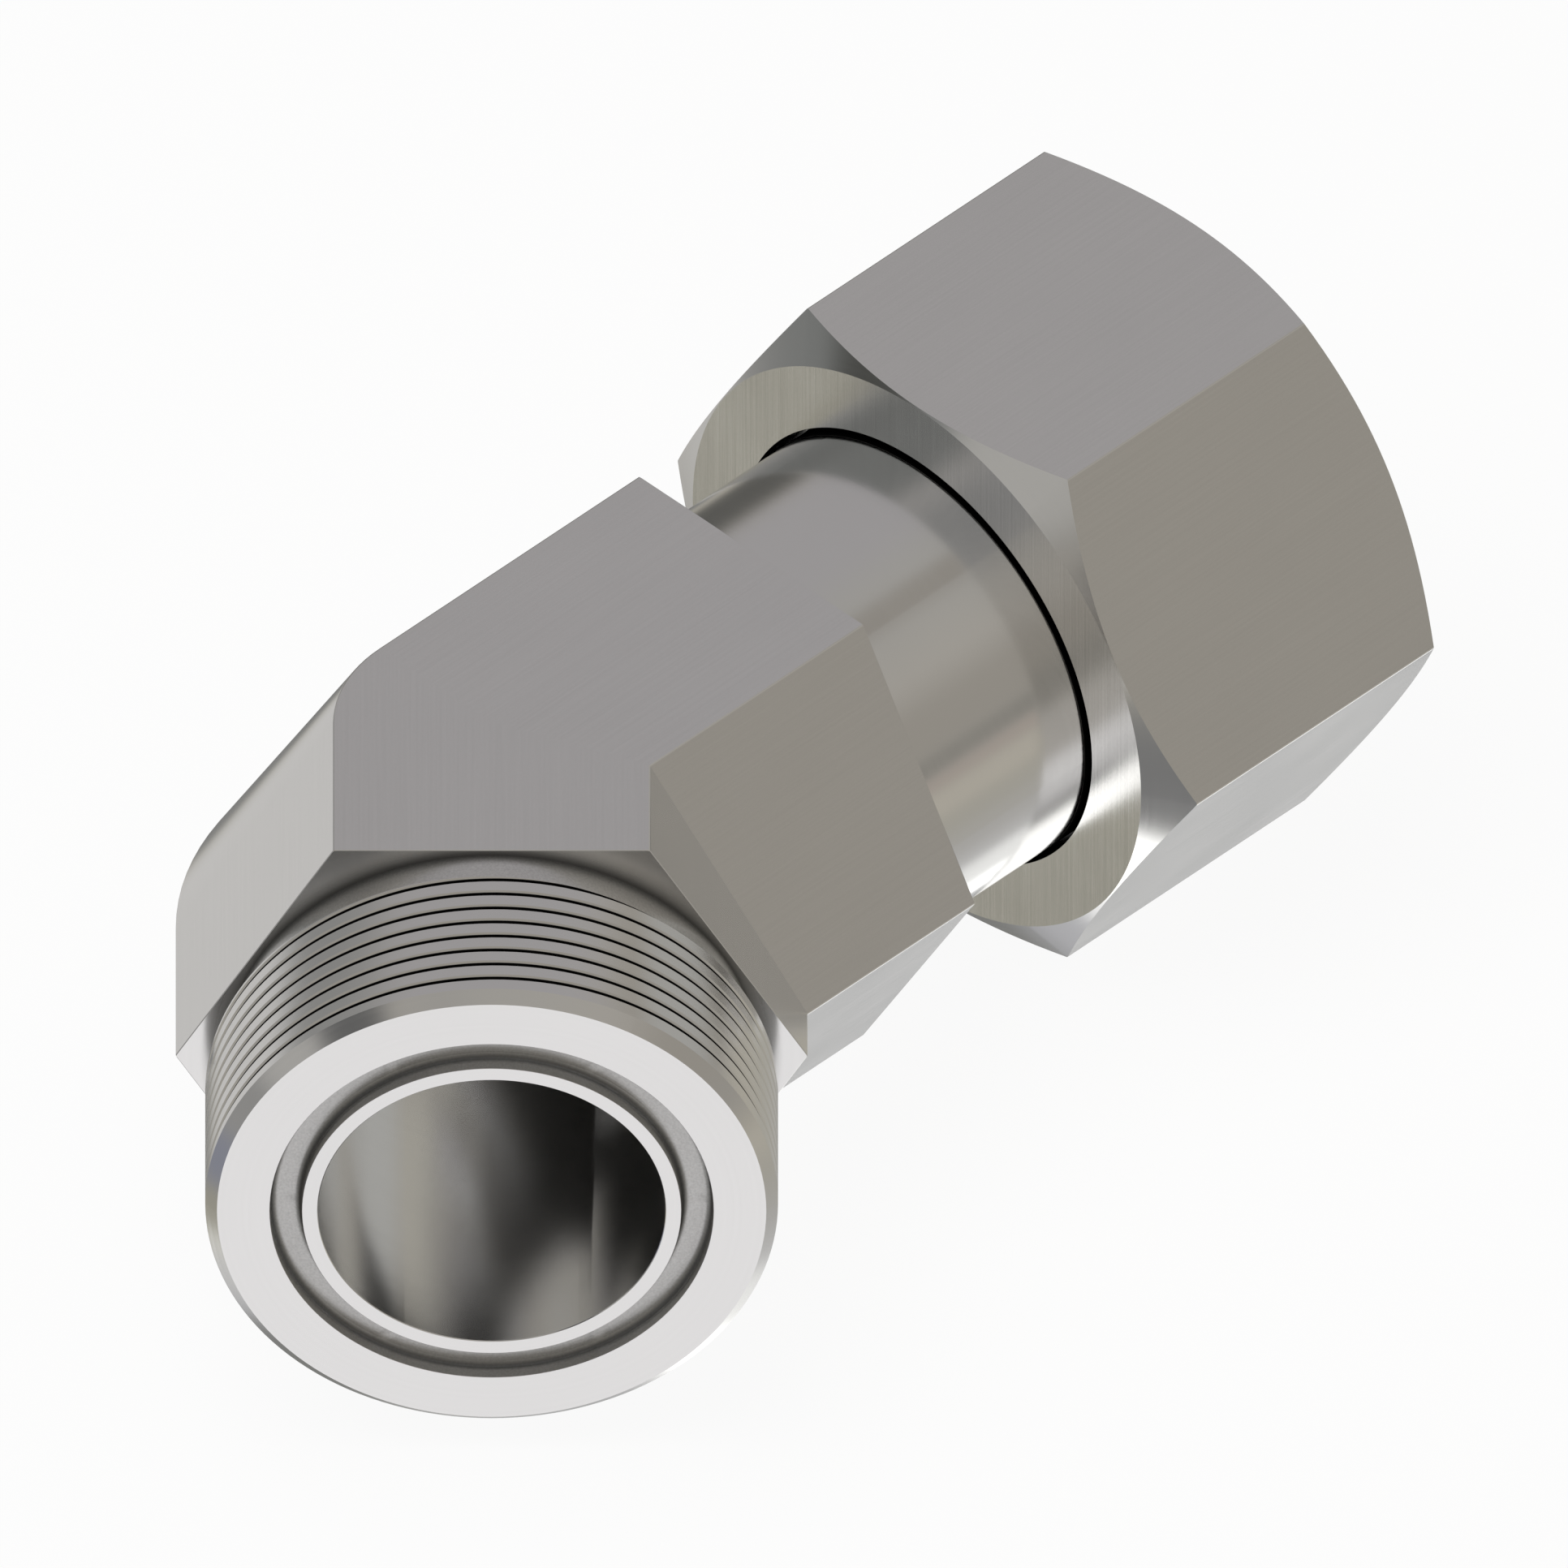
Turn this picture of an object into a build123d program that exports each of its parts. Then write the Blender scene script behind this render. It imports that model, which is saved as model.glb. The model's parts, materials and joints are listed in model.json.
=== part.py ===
from build123d import *
from math import radians, tan
import os

# A 45 degree swivel elbow for face-seal pipework. The elbow body is one piece: two hexagon
# legs that meet in a bend, a male thread with a ring groove in its sealing face, and a plain
# stub that carries a loose hexagon nut. A split wire ring sits half in a groove of the stub
# and half in a groove of the nut, and keeps the nut on while it turns.
# Lengths are in millimetres. Lengths along a leg start at the centre, where the axes of the
# two legs meet. The origin is on the axis of the male leg, at the outer end of its full thread.

# Elbow body
bend_angle = 45.0
body_hex = 41.0
bore_diameter = 26.0

# Male leg
male_hex_length = 14.5
undercut_length = 4.0
undercut_depth = 1.45
thread_diameter = 42.86
thread_pitch = 1.5875
thread_length = 12.7
thread_chamfer = 0.85
ring_land = 1.2
ring_groove_width = 2.4
ring_groove_depth = 1.35
ring_groove_corner = 0.5

# Swivel leg
swivel_hex_length = 27.5
stub_length = 33.0
stub_wall = 5.0
stub_edge = 0.5

# Swivel nut
nut_wall = 2.385
nut_length = 29.4
nut_reach = 13.9
nut_gap = 0.5
nut_chamfer_angle = 30.0
washer_face_inset = 0.1
relief_length = 4.0
relief_past_face = 1.0
relief_clearance = 0.25
mouth_clearance = 0.15

# Retaining wire, its grooves, and the slanting hole that it is fed in through
wire_diameter = 2.4
wire_clearance = 0.1
wire_from_back = 4.6
wire_opening_angle = 14.0
wire_hole_clearance = 0.2
wire_hole_angle = 270.0

# Places along the two legs
thread_start = male_hex_length + undercut_length
thread_end = thread_start + thread_length
male_face = thread_end + thread_chamfer
stub_face = swivel_hex_length + stub_length
nut_front = stub_face + nut_reach
nut_back = nut_front - nut_length
relief_front = stub_face + relief_past_face
wire_place = nut_back + wire_from_back

# Radii that follow from the fits
bore_radius = bore_diameter / 2
thread_radius = thread_diameter / 2
stub_radius = bore_radius + stub_wall
nut_bore_radius = stub_radius + nut_gap
nut_flat_radius = thread_radius + nut_wall
nut_thread_radius = thread_radius - 0.5413 * thread_pitch
relief_radius = thread_radius + relief_clearance
mouth_radius = thread_radius + mouth_clearance
mouth_depth = mouth_radius - nut_thread_radius
wire_ring_radius = stub_radius + nut_gap / 2
wire_groove_radius = wire_diameter / 2 + wire_clearance

# The section plane of a leg holds its axis: X runs outward from the axis and Y along it
centre = Vector(0, thread_end, 0)
male_section = Plane(origin=centre, x_dir=(-1, 0, 0), z_dir=(0, 0, 1))
swivel_section = male_section.rotated((0, 0, 180 - bend_angle))

male_axis = Axis(centre, male_section.y_dir)
swivel_axis = Axis(centre, swivel_section.y_dir)
bend_axis = Axis(centre, (0, 0, -1))


def square_to(section, reach=0.0):
    """Return the plane square to a leg's axis, at a distance from the centre."""
    return Plane(
        origin=section.origin + section.y_dir * reach,
        x_dir=section.x_dir,
        z_dir=section.y_dir,
    )


def turned(section, angle):
    """Return the section plane of a leg, turned about the leg's axis."""
    x_dir = section.x_dir.rotate(Axis((0, 0, 0), section.y_dir), angle)
    return Plane(origin=section.origin, x_dir=x_dir, z_dir=x_dir.cross(section.y_dir))


with BuildPart() as elbow_body:
    # Hexagon legs, with two flats level and two corners in the plane of the bend
    for section, length in ((male_section, male_hex_length), (swivel_section, swivel_hex_length)):
        with BuildSketch(square_to(section)):
            RegularPolygon(body_hex / 2, 6, major_radius=False)
        extrude(amount=length)

    # Outside of the bend: the outer half of the hexagon, turned about the centre
    with BuildSketch(square_to(male_section)):
        RegularPolygon(body_hex / 2, 6, major_radius=False)
        split(bisect_by=Plane.YZ, keep=Keep.TOP)
    revolve(axis=bend_axis, revolution_arc=bend_angle)

    # Male end as turned: undercut, thread at its full diameter, chamfer and sealing face
    with BuildSketch(male_section):
        with BuildLine():
            Polyline(
                (0, 0),
                (thread_radius - undercut_depth, 0),
                (thread_radius - undercut_depth, thread_start),
                (thread_radius, thread_start),
                (thread_radius, thread_end),
                (thread_radius - thread_chamfer, male_face),
                (0, male_face),
                close=True,
            )
        make_face()
    revolve(axis=male_axis)

    # Plain stub that the nut turns on, with its edge broken at the sealing face
    with BuildSketch(square_to(swivel_section)):
        Circle(stub_radius)
    extrude(amount=stub_face)
    stub_rim = edges().filter_by(GeomType.CIRCLE).sort_by(swivel_axis)[-1]
    chamfer(stub_rim, stub_edge)

    # Groove for the sealing ring, with rounded floor corners
    with BuildSketch(male_section) as ring_groove:
        with Locations((bore_radius + ring_land, male_face)):
            Rectangle(ring_groove_width, ring_groove_depth, align=(Align.MIN, Align.MAX))
        fillet(ring_groove.vertices().group_by(Axis.Y)[0], ring_groove_corner)
    revolve(axis=male_axis, mode=Mode.SUBTRACT)

    # Half-round groove for the retaining wire
    with BuildSketch(swivel_section):
        with Locations((wire_ring_radius, wire_place)):
            Circle(wire_groove_radius)
    revolve(axis=swivel_axis, mode=Mode.SUBTRACT)

    # Bores drilled in from both ends, with a round corner where they meet
    for section, length in ((male_section, male_face), (swivel_section, stub_face)):
        with BuildSketch(square_to(section)):
            Circle(bore_radius)
        extrude(amount=length, mode=Mode.SUBTRACT)
    with BuildSketch(square_to(male_section)):
        Circle(bore_radius)
        split(bisect_by=Plane.YZ, keep=Keep.TOP)
    revolve(axis=bend_axis, revolution_arc=bend_angle, mode=Mode.SUBTRACT)

with BuildPart() as swivel_nut:
    # Hexagon bar, parallel to the body's hexagon
    with BuildSketch(square_to(swivel_section, nut_back)):
        RegularPolygon(nut_flat_radius, 6, major_radius=False)
    extrude(amount=nut_length)

    # Turned form: corners chamfered down to a washer face at each end, then from the back
    # the bore over the stub, the thread relief, the thread's inner diameter and its mouth
    washer_face_radius = nut_flat_radius - washer_face_inset
    blank_radius = 1.2 * nut_flat_radius
    chamfer_depth = (blank_radius - washer_face_radius) * tan(radians(nut_chamfer_angle))
    with BuildSketch(swivel_section):
        with BuildLine():
            Polyline(
                (nut_bore_radius, nut_back),
                (washer_face_radius, nut_back),
                (blank_radius, nut_back + chamfer_depth),
                (blank_radius, nut_front - chamfer_depth),
                (washer_face_radius, nut_front),
                (mouth_radius, nut_front),
                (nut_thread_radius, nut_front - mouth_depth),
                (nut_thread_radius, relief_front),
                (relief_radius, relief_front),
                (relief_radius, relief_front - relief_length),
                (nut_bore_radius, relief_front - relief_length),
                close=True,
            )
        make_face()
    revolve(axis=swivel_axis, mode=Mode.INTERSECT)

    # The nut's half of the wire groove
    with BuildSketch(swivel_section):
        with Locations((wire_ring_radius, wire_place)):
            Circle(wire_groove_radius)
    revolve(axis=swivel_axis, mode=Mode.SUBTRACT)

    # Wire hole, drilled through one flat and into the groove along its tangent
    with BuildSketch(turned(swivel_section, wire_hole_angle)):
        with Locations((wire_ring_radius, wire_place)):
            Circle(wire_diameter / 2 + wire_hole_clearance)
    extrude(amount=nut_flat_radius, mode=Mode.SUBTRACT)

with BuildPart() as retaining_wire:
    # Round wire wound into a split ring, with its opening at the wire hole
    with BuildSketch(turned(swivel_section, wire_hole_angle + wire_opening_angle / 2)):
        with Locations((wire_ring_radius, wire_place)):
            Circle(wire_diameter / 2)
    revolve(axis=swivel_axis, revolution_arc=360 - wire_opening_angle)

elbow_body.part.label = "elbow_body"
swivel_nut.part.label = "swivel_nut"
retaining_wire.part.label = "retaining_wire"

os.makedirs("parts", exist_ok=True)
export_step(elbow_body.part, "parts/elbow_body.step")
export_step(swivel_nut.part, "parts/swivel_nut.step")
export_step(retaining_wire.part, "parts/retaining_wire.step")
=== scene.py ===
"""Swivel elbow: the dressed model of a 45 degree face-seal pipe elbow, laid out as an add-on."""

import json
from math import acos, atan2, cos, floor, pi, radians, sin, sqrt, tan

import bmesh
import bpy
from bpy.props import FloatProperty, FloatVectorProperty, PointerProperty
from mathutils import Matrix, Vector


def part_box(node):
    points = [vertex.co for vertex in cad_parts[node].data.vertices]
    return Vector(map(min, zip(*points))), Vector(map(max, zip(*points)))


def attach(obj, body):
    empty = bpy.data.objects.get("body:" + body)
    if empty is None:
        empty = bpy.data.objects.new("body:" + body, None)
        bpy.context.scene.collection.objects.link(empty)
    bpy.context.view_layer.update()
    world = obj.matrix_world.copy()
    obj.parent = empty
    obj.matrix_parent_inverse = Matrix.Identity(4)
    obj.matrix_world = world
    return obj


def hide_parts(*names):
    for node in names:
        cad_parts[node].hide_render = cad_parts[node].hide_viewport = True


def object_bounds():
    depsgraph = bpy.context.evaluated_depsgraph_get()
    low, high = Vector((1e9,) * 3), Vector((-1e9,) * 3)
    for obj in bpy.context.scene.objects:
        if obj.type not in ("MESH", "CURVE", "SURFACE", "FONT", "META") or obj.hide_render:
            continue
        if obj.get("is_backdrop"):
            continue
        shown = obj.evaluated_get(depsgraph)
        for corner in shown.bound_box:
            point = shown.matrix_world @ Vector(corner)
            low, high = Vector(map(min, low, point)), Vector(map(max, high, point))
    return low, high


bl_info = {
    "name": "Swivel elbow",
    "version": (1, 0, 0),
    "blender": (4, 5, 0),
    "location": "View3D > Sidebar > Elbow",
    "description": "Builds a steel swivel elbow around its packed frame",
    "category": "Add Mesh",
}

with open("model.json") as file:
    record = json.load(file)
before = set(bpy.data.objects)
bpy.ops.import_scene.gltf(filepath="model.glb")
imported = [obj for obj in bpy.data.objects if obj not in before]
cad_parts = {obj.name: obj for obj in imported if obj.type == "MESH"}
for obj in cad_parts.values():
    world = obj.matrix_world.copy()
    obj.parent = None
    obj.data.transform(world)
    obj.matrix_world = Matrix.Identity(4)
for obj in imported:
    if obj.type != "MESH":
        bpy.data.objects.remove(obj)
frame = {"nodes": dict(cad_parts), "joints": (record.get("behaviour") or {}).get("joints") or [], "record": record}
cad_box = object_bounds()

MM = 0.001
UP = Vector((0, 0, 1))
MOUNTS = {mount["name"]: mount for mount in frame["record"]["mounts"]}
SWIVEL = frame["joints"][0]


class Leg:
    """One leg of the elbow: its outward axis, and the side of it that faces the bend's outside."""

    def __init__(self, centre, along, outward):
        self.centre = centre
        self.along = along
        self.outward = outward

    def point(self, reach, side, height):
        """Return the point at a distance along the axis, beside it and above it."""
        return self.centre + self.along * reach + self.outward * side + UP * height

    def extent(self, node):
        """Return how near the centre and how far out a CAD node reaches along the axis."""
        reaches = [(v.co - self.centre).dot(self.along) for v in frame["nodes"][node].data.vertices]
        return min(reaches), max(reaches)


def meeting_point():
    """Return the point where the axis of the male thread meets the axis of the swivel."""
    start = Vector(MOUNTS["male_thread"]["pos_m"])
    along = Vector(MOUNTS["male_thread"]["axis"])
    pivot = Vector(SWIVEL["pos_m"])
    turn = Vector(SWIVEL["axis"])
    across = turn - along * turn.dot(along)
    return pivot - turn * ((pivot - start).dot(across) / turn.dot(across))


CENTRE = meeting_point()
MALE_ALONG = Vector(MOUNTS["male_thread"]["axis"])
SWIVEL_ALONG = Vector(SWIVEL["axis"]).normalized()
MALE = Leg(CENTRE, MALE_ALONG, UP.cross(MALE_ALONG) * -1)
SWIVEL_LEG = Leg(CENTRE, SWIVEL_ALONG, UP.cross(SWIVEL_ALONG))
BEND_ANGLE = acos(-MALE_ALONG.dot(SWIVEL_ALONG))

MALE_FACE = MALE.extent("elbow_body")[1]
STUB_FACE = SWIVEL_LEG.extent("elbow_body")[1]
NUT_BACK, NUT_FRONT = SWIVEL_LEG.extent("swivel_nut")
NUT_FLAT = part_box("swivel_nut")[1].z
THREAD_RADIUS = MOUNTS["male_thread"]["dims"]["r_mm"] * MM
NUT_THREAD_RADIUS = MOUNTS["nut_thread"]["dims"]["r_mm"] * MM


def length(name, description, default):
    """Return a length property in metres."""
    return FloatProperty(
        name=name, description=description, default=default, min=0.0, precision=5, unit="LENGTH"
    )


def colour(name, description, default):
    """Return a colour property."""
    return FloatVectorProperty(
        name=name, description=description, default=default, size=3, min=0, max=1, subtype="COLOR"
    )


class ELBOW_PG_body(bpy.types.PropertyGroup):
    """Sizes of the elbow body."""

    flats: length("Hexagon", "Width of both hexagon legs across flats", 0.041)
    bore: length("Bore", "Diameter of the bores", 0.026)
    male_hex: length("Male hexagon", "Length of the male leg's hexagon from the centre", 0.0145)
    swivel_hex: length("Swivel hexagon", "Length of the other hexagon from the centre", 0.0275)
    undercut: length("Undercut", "Length of the undercut behind the thread", 0.004)
    undercut_depth: length("Undercut depth", "Depth of the undercut below the thread", 0.00145)
    chamfer: length("Face chamfer", "Chamfer between the thread and the sealing face", 0.00085)
    ring_land: length("Inner land", "Width of the face between bore and ring groove", 0.0012)
    ring_width: length("Ring groove", "Width of the groove for the sealing ring", 0.0024)
    ring_depth: length("Ring groove depth", "Depth of the groove for the sealing ring", 0.00135)
    ring_corner: length("Groove corner", "Radius in the corners of the groove's floor", 0.0005)
    stub_wall: length("Stub wall", "Wall of the stub that the nut turns on", 0.005)
    stub_edge: length("Stub edge", "Chamfer at the end of the stub", 0.0005)
    edge: length("Hexagon edge", "Radius of the hexagon's long edges", 0.00025)
    break_edge: length("Broken edge", "Width of the small broken edges", 0.00006)


class ELBOW_PG_thread(bpy.types.PropertyGroup):
    """Form of the two threads."""

    pitch: length("Pitch", "Distance between turns", 0.0015875)
    depth: length("Depth", "Depth of the male thread's groove", 0.00046)
    root: length("Root", "Width of the groove's floor", 0.00006)
    first_groove: length("First groove", "Place of the first groove from the centre", 0.01878)
    fade: length("Run-out", "Length over which the groove runs out at the face", 0.0005)
    nut_root: length("Nut root", "Width of the floor of the nut's thread groove", 0.0002)


class ELBOW_PG_nut(bpy.types.PropertyGroup):
    """Sizes of the swivel nut."""

    gap: length("Gap", "Radial gap between the nut and the stub", 0.0005)
    inset: length("Washer face", "How far the washer face lies inside the flats", 0.0001)
    chamfer_angle: FloatProperty(
        name="Chamfer", description="Angle of the corner chamfers", default=radians(30), unit="ROTATION"
    )
    relief: length("Relief", "Length of the relief behind the thread", 0.004)
    relief_past: length("Relief past face", "How far it reaches past the stub's face", 0.001)
    relief_clearance: length("Relief clearance", "Relief beyond the thread's radius", 0.00025)
    mouth: length("Mouth", "Mouth of the thread beyond the thread's radius", 0.00015)
    wire: length("Wire", "Diameter of the retaining wire", 0.0024)
    wire_clearance: length("Wire clearance", "Groove radius beyond the wire's", 0.0001)
    wire_place: length("Wire place", "Wire's distance from the nut's back", 0.0046)
    wire_hole: length("Wire hole", "Hole radius beyond the wire's", 0.0002)


class ELBOW_PG_finish(bpy.types.PropertyGroup):
    """Colours and gloss of the steel."""

    steel: colour("Steel", "Colour of the bare steel", (0.82, 0.815, 0.81))
    nut_steel: colour("Nut steel", "Colour of the nut", (0.82, 0.815, 0.805))
    # Painted light: the body's bores take a lighter copy of the steel
    bore_steel_painted_light: colour("Bored steel", "Colour of the bores", (0.93, 0.93, 0.935))
    wire: colour("Wire", "Colour of the retaining wire", (0.66, 0.66, 0.65))
    # Painted shade: this dark colour is painted into the thread's roots, the inner corners and the gap between nut
    # and stub
    painted_shade: colour("Painted shade", "Colour in the thread's roots and in deep corners", (0.006, 0.006, 0.006))
    roughness: FloatProperty(
        name="Roughness", description="Roughness of the machined faces", default=0.16, min=0, max=1
    )


class ELBOW_PG_stage(bpy.types.PropertyGroup):
    """Camera and floor."""

    elevation: FloatProperty(
        name="Elevation", description="Camera above the horizon", default=radians(41.4), unit="ROTATION"
    )
    width: length("Width", "Width of the picture in the object's plane", 0.11732)
    right: length("Right", "Picture's centre to the right of the elbow's centre", 0.021876)
    above: length("Above", "Picture's centre above the elbow's centre", 0.010742)
    floor: colour("Floor", "Colour of the floor", (0.92, 0.92, 0.92))


class ELBOW_PG_all(bpy.types.PropertyGroup):
    """Every setting of the elbow."""

    body: PointerProperty(type=ELBOW_PG_body)
    thread: PointerProperty(type=ELBOW_PG_thread)
    nut: PointerProperty(type=ELBOW_PG_nut)
    finish: PointerProperty(type=ELBOW_PG_finish)
    stage: PointerProperty(type=ELBOW_PG_stage)


# Columns and rings

# Degrees from one even column to the next, and from each corner to the extra ones beside it
EVEN_STEP = 2.5
CORNER_OFFSETS = (0.12, 0.24, 0.36)
# Steps of the bend, of a corner in the ring groove and of the wire groove
BEND_STEPS = 12
CORNER_STEPS = 4
WIRE_GROOVE_STEPS = 10
# Points that lie closer together than this, in metres, are merged
MERGE = 1e-7
# Edges turned by more than this stay sharp
SHARP_ANGLE = radians(25)


def column_angles():
    """Return the angles of the columns round a leg, with extra ones at the hexagon's corners."""
    angles = {step * EVEN_STEP for step in range(int(360 / EVEN_STEP))}
    for corner in range(0, 360, 60):
        for offset in CORNER_OFFSETS:
            angles.add((corner + offset) % 360)
            angles.add((corner - offset) % 360)
    return [radians(angle) for angle in sorted(angles)]


COLUMNS = column_angles()


def hexagon_radius(flat, rounding, angle):
    """Return the distance from the axis to a hexagon with rounded corners, at an angle."""
    sixth = pi / 3
    off_corner = abs((angle + sixth / 2) % sixth - sixth / 2)
    middle = (flat - rounding) / cos(sixth / 2)
    tangent = atan2(rounding * sin(sixth / 2), middle + rounding * cos(sixth / 2))
    if off_corner < tangent:
        return middle * cos(off_corner) + sqrt(rounding**2 - (middle * sin(off_corner)) ** 2)
    return flat / cos(sixth / 2 - off_corner)


def circle(radius):
    """Return the same radius for every column."""
    return [radius for _ in COLUMNS]


def hexagon(flat, rounding):
    """Return the radius of a rounded hexagon for every column."""
    return [hexagon_radius(flat, rounding, angle) for angle in COLUMNS]


def ring(leg, reaches, radii):
    """Return the points of one ring round a leg. The reach is one number or one per column."""
    if not isinstance(reaches, (list, tuple)):
        reaches = [reaches for _ in COLUMNS]
    return [
        leg.point(reach, radius * cos(angle), radius * sin(angle))
        for reach, radius, angle in zip(reaches, radii, COLUMNS)
    ]


def bend_rings(radii):
    """Return rings through the bend: turned about the centre outside, mitred inside."""
    rings = []
    for step in range(BEND_STEPS + 1):
        turn = Matrix.Rotation(-BEND_ANGLE * step / BEND_STEPS, 3, "Z")
        outward = turn @ MALE.outward
        points = []
        for radius, angle in zip(radii, COLUMNS):
            side = radius * cos(angle)
            height = radius * sin(angle)
            if side < 0:
                points.append(MALE.point(-side * tan(BEND_ANGLE / 2), side, height))
            else:
                points.append(CENTRE + outward * side + UP * height)
        rings.append(points)
    return rings


def arc(middle, radius, start, end, steps):
    """Return points of an arc in a section, as pairs of reach and radius."""
    points = []
    for step in range(steps + 1):
        angle = radians(start + (end - start) * step / steps)
        points.append((middle[0] + radius * cos(angle), middle[1] + radius * sin(angle)))
    return points


class Skin:
    """A closed surface laid as rings of points, each strip with its own finish."""

    def __init__(self):
        self.mesh = bmesh.new()
        self.first = None
        self.last = None

    def join(self, before, after, finish):
        """Lay faces between two rows of vertices."""
        count = len(COLUMNS)
        for column in range(count):
            following = (column + 1) % count
            corners = [before[column], before[following], after[following], after[column]]
            face = self.mesh.faces.new(corners)
            face.material_index = finish

    def ring(self, points, finish):
        """Add a ring, joined to the last one by a strip of the given finish."""
        row = [self.mesh.verts.new(point) for point in points]
        if self.last is not None:
            self.join(self.last, row, finish)
        else:
            self.first = row
        self.last = row

    def rings(self, rows, finish):
        """Add several rings."""
        for points in rows:
            self.ring(points, finish)

    def section(self, leg, points, finish):
        """Add turned rings from a section given as pairs of reach and radius."""
        for reach, radius in points:
            self.ring(ring(leg, reach, circle(radius)), finish)

    def helix(self, leg, rows, seam, point, finish):
        """Add rows that climb round the leg, so that a row meets another one at the seam."""
        grid = []
        for row in range(rows):
            grid.append([self.mesh.verts.new(point(row, angle)) for angle in COLUMNS])
        self.join(self.last, grid[0], finish)
        count = len(COLUMNS)
        for row in range(rows - 1):
            for column in range(count - 1):
                self.face(grid, row, column, row, column + 1, finish)
            self.face(grid, row, count - 1, row + seam, 0, finish)
        self.last = grid[-1]

    def face(self, grid, row, column, other_row, other_column, finish):
        """Lay one face of a helix between two columns, whose rows may differ."""
        top = len(grid) - 1
        low = min(max(other_row, 0), top)
        high = min(max(other_row + 1, 0), top)
        corners = [grid[row][column], grid[low][other_column]]
        if high != low:
            corners.append(grid[high][other_column])
        corners.append(grid[row + 1][column])
        face = self.mesh.faces.new(corners)
        face.material_index = finish

    def close(self, finish):
        """Join the last ring to the first."""
        self.join(self.last, self.first, finish)

    def finish(self, name, materials):
        """Merge what meets and return the surface as a piece."""
        bmesh.ops.remove_doubles(self.mesh, verts=self.mesh.verts[:], dist=MERGE)
        bmesh.ops.dissolve_degenerate(self.mesh, dist=MERGE, edges=self.mesh.edges[:])
        bmesh.ops.recalc_face_normals(self.mesh, faces=self.mesh.faces[:])
        data = bpy.data.meshes.new(name)
        self.mesh.to_mesh(data)
        self.mesh.free()
        for material in materials:
            data.materials.append(material)
        piece = bpy.data.objects.new(name, data)
        bpy.context.scene.collection.objects.link(piece)
        return piece


def shade(piece):
    """Shade a piece smooth up to the sharp angle, with the large faces deciding the normals."""
    piece.data.shade_smooth()
    piece.data.set_sharp_from_angle(angle=SHARP_ANGLE)
    weights = piece.modifiers.new("Normals", "WEIGHTED_NORMAL")
    weights.keep_sharp = True
    weights.weight = 90


def cut(piece, tool):
    """Cut a tool out of a piece and remove the tool."""
    modifier = piece.modifiers.new("Cut", "BOOLEAN")
    modifier.operation = "DIFFERENCE"
    modifier.solver = "EXACT"
    modifier.object = tool
    graph = bpy.context.evaluated_depsgraph_get()
    mesh = bpy.data.meshes.new_from_object(piece.evaluated_get(graph))
    piece.modifiers.remove(modifier)
    old = piece.data
    piece.data = mesh
    bpy.data.meshes.remove(old)
    bpy.data.objects.remove(tool)


# Shader building


class Value:
    """A socket that takes part in Python expressions. Each operator adds a Math node."""

    def __init__(self, graph, socket):
        self.graph = graph
        self.socket = socket

    def _with(self, operation, *others):
        node = self.graph.node("ShaderNodeMath", {"operation": operation}, [self, *others])
        return Value(self.graph, node.outputs[0])

    def __add__(self, other):
        return self._with("ADD", other)

    __radd__ = __add__

    def __mul__(self, other):
        return self._with("MULTIPLY", other)

    __rmul__ = __mul__

    def __sub__(self, other):
        return self._with("SUBTRACT", other)

    def __rsub__(self, other):
        return (self * -1)._with("ADD", other)

    def __pow__(self, other):
        return self._with("POWER", other)

    def clamp(self):
        """Return the value held between 0 and 1."""
        held = self._with("ADD", 0)
        held.socket.node.use_clamp = True
        return held

    def step(self, low, high):
        """Return 0 below low and 1 above high, smooth between."""
        node = self.graph.node(
            "ShaderNodeMapRange",
            {"interpolation_type": "SMOOTHSTEP"},
            {"Value": self, "From Min": low, "From Max": high},
        )
        return Value(self.graph, node.outputs["Result"])


class Graph:
    """The node tree of one material or world."""

    def __init__(self, owner):
        owner.use_nodes = True
        self.tree = owner.node_tree
        self.tree.nodes.clear()

    def node(self, kind, settings=None, inputs=None):
        """Add a node with its settings, then its inputs, which are values or links."""
        node = self.tree.nodes.new(kind)
        for name, value in (settings or {}).items():
            if name == "stops":
                self._stops(node.color_ramp, value)
            else:
                setattr(node, name, value)
        pairs = enumerate(inputs) if isinstance(inputs, (list, tuple)) else (inputs or {}).items()
        for key, value in pairs:
            if isinstance(value, Value):
                value = value.socket
            if isinstance(value, bpy.types.NodeSocket):
                self.tree.links.new(value, node.inputs[key])
            else:
                node.inputs[key].default_value = value
        return node

    def _stops(self, ramp, stops):
        while len(ramp.elements) < len(stops):
            ramp.elements.new(1.0)
        for element, (place, tone) in zip(ramp.elements, stops):
            element.position = place
            element.color = (*tone, 1.0)

    def value(self, kind, settings=None, inputs=None, output=0):
        """Add a node and return one of its outputs as a value."""
        return Value(self, self.node(kind, settings, inputs).outputs[output])

    def vector(self, operation, *inputs, output=0):
        """Add a Vector Math node and return its output socket."""
        node = self.node("ShaderNodeVectorMath", {"operation": operation}, list(inputs))
        return node.outputs[output]

    def dot(self, first, second):
        """Return the dot product of two vectors as a value."""
        return Value(self, self.vector("DOT_PRODUCT", first, second, output="Value"))

    def mix(self, factor, first, second):
        """Return two colours mixed by a factor."""
        inputs = {0: factor, 6: first, 7: second}
        return self.node("ShaderNodeMix", {"data_type": "RGBA"}, inputs).outputs[2]


def rgba(tone):
    """Return a colour with full alpha."""
    return (tone[0], tone[1], tone[2], 1.0)


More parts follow.
